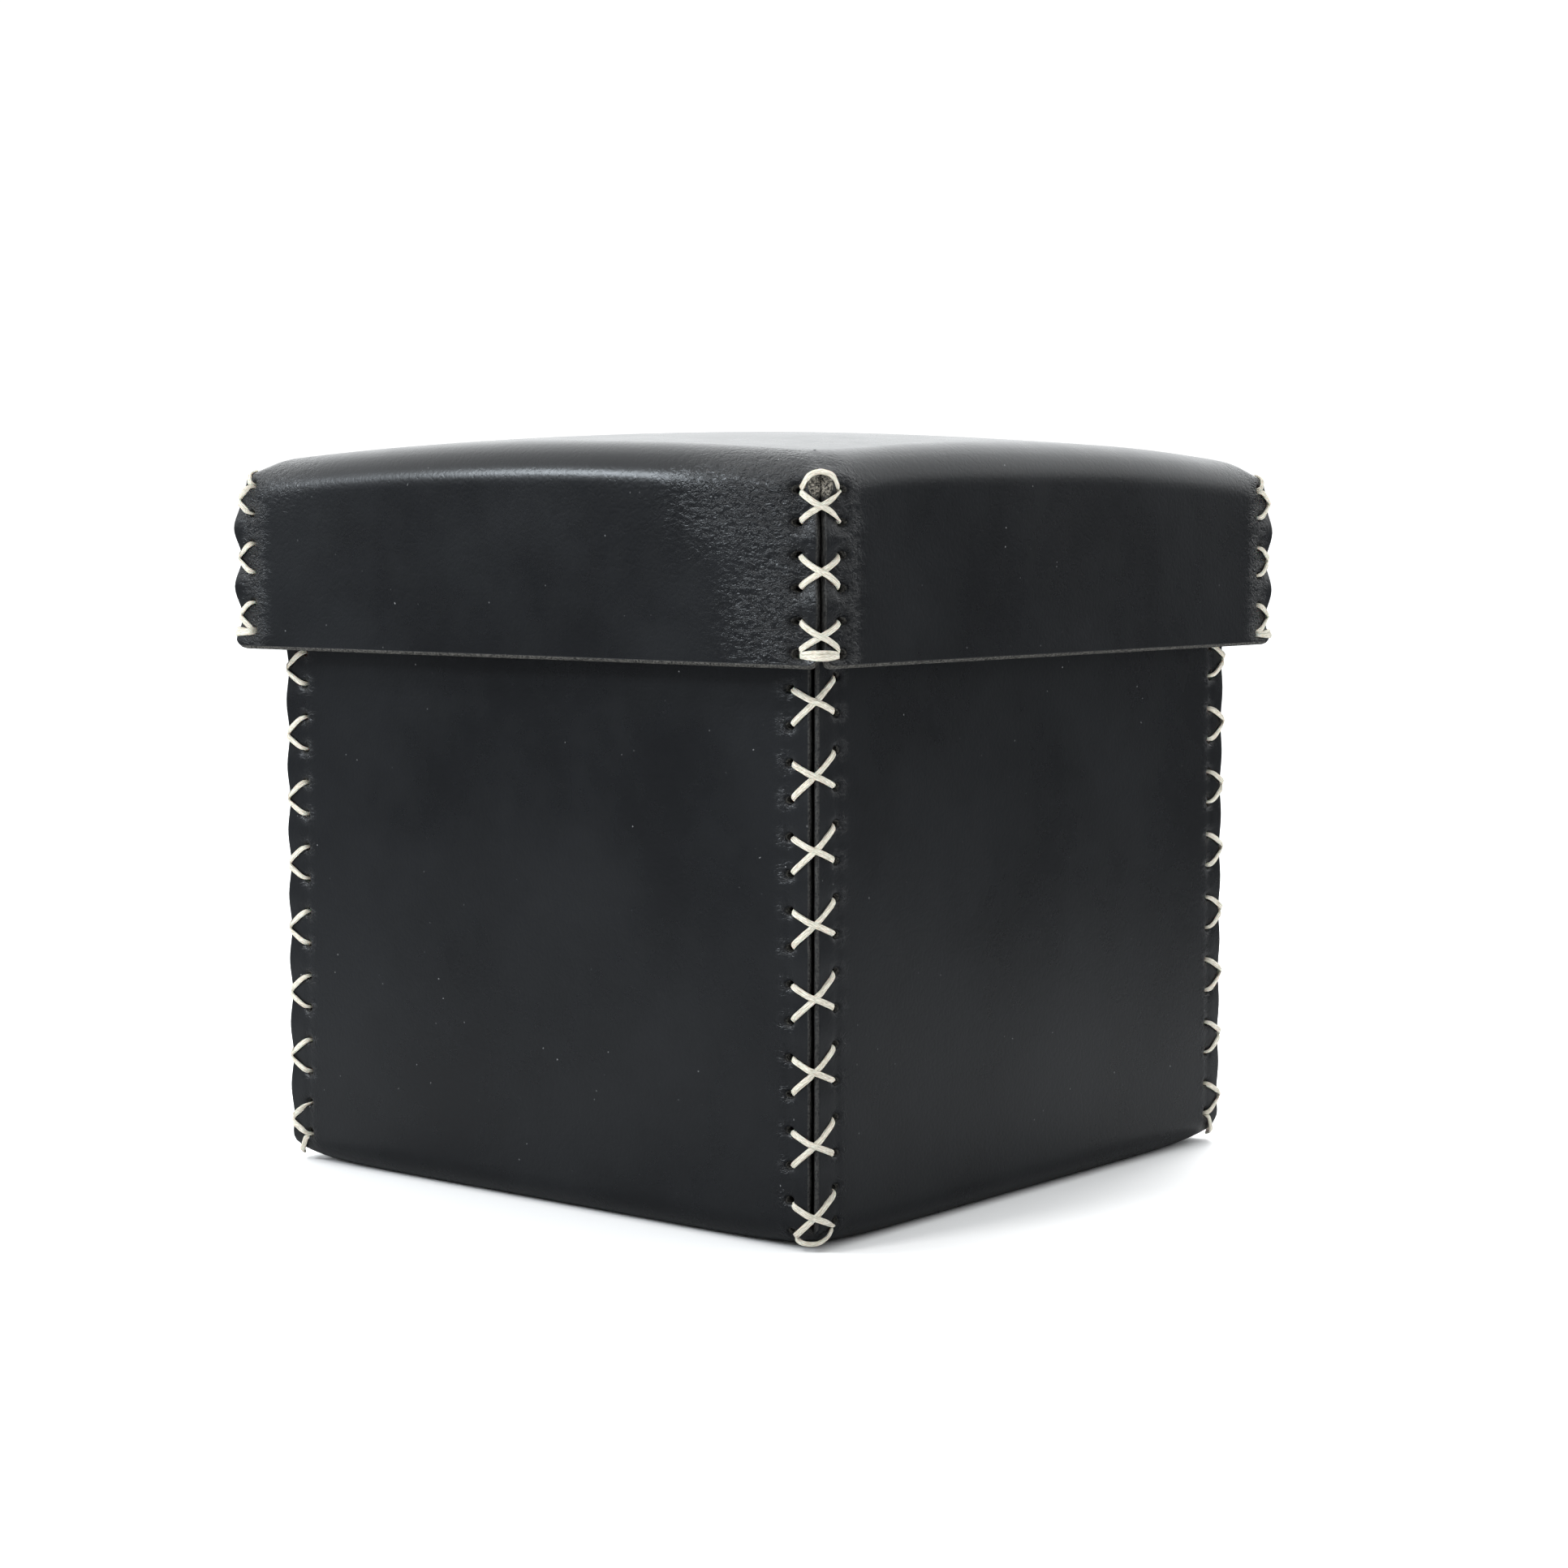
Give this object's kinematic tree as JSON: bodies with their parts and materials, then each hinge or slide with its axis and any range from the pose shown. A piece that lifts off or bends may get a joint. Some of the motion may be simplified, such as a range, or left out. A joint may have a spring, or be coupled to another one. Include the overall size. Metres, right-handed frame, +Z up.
{
  "type": "lidded leather box",
  "caption": "Square black leather box with a domed lift-off lid, both laced at the corners with pale cord crosses.",
  "frame": {"origin": "centre of the body's underside, on the surface it stands on", "axes": "+Z up through the lid; -Y is the front wall and +X the right-hand wall of the square body"},
  "size_m": [0.1804, 0.1804, 0.1718],
  "materials": {
    "black_leather": "smooth, semi-matte",
    "lacing_cord": "waxed"
  },
  "bodies": {
    "box": {"body_shell": "black_leather", "body_lacing_front_right": "lacing_cord", "body_lacing_back_right": "lacing_cord", "body_lacing_back_left": "lacing_cord", "body_lacing_front_left": "lacing_cord"},
    "lid": {"lid_shell": "black_leather", "lid_lacing_front_right": "lacing_cord", "lid_lacing_back_right": "lacing_cord", "lid_lacing_back_left": "lacing_cord", "lid_lacing_front_left": "lacing_cord"}
  },
  "joints": [
    {"name": "lid_lift", "type": "slide", "parent": "box", "child": "lid", "axis": [0, 0, 1], "range_m": [0, 0.08]}
  ]
}
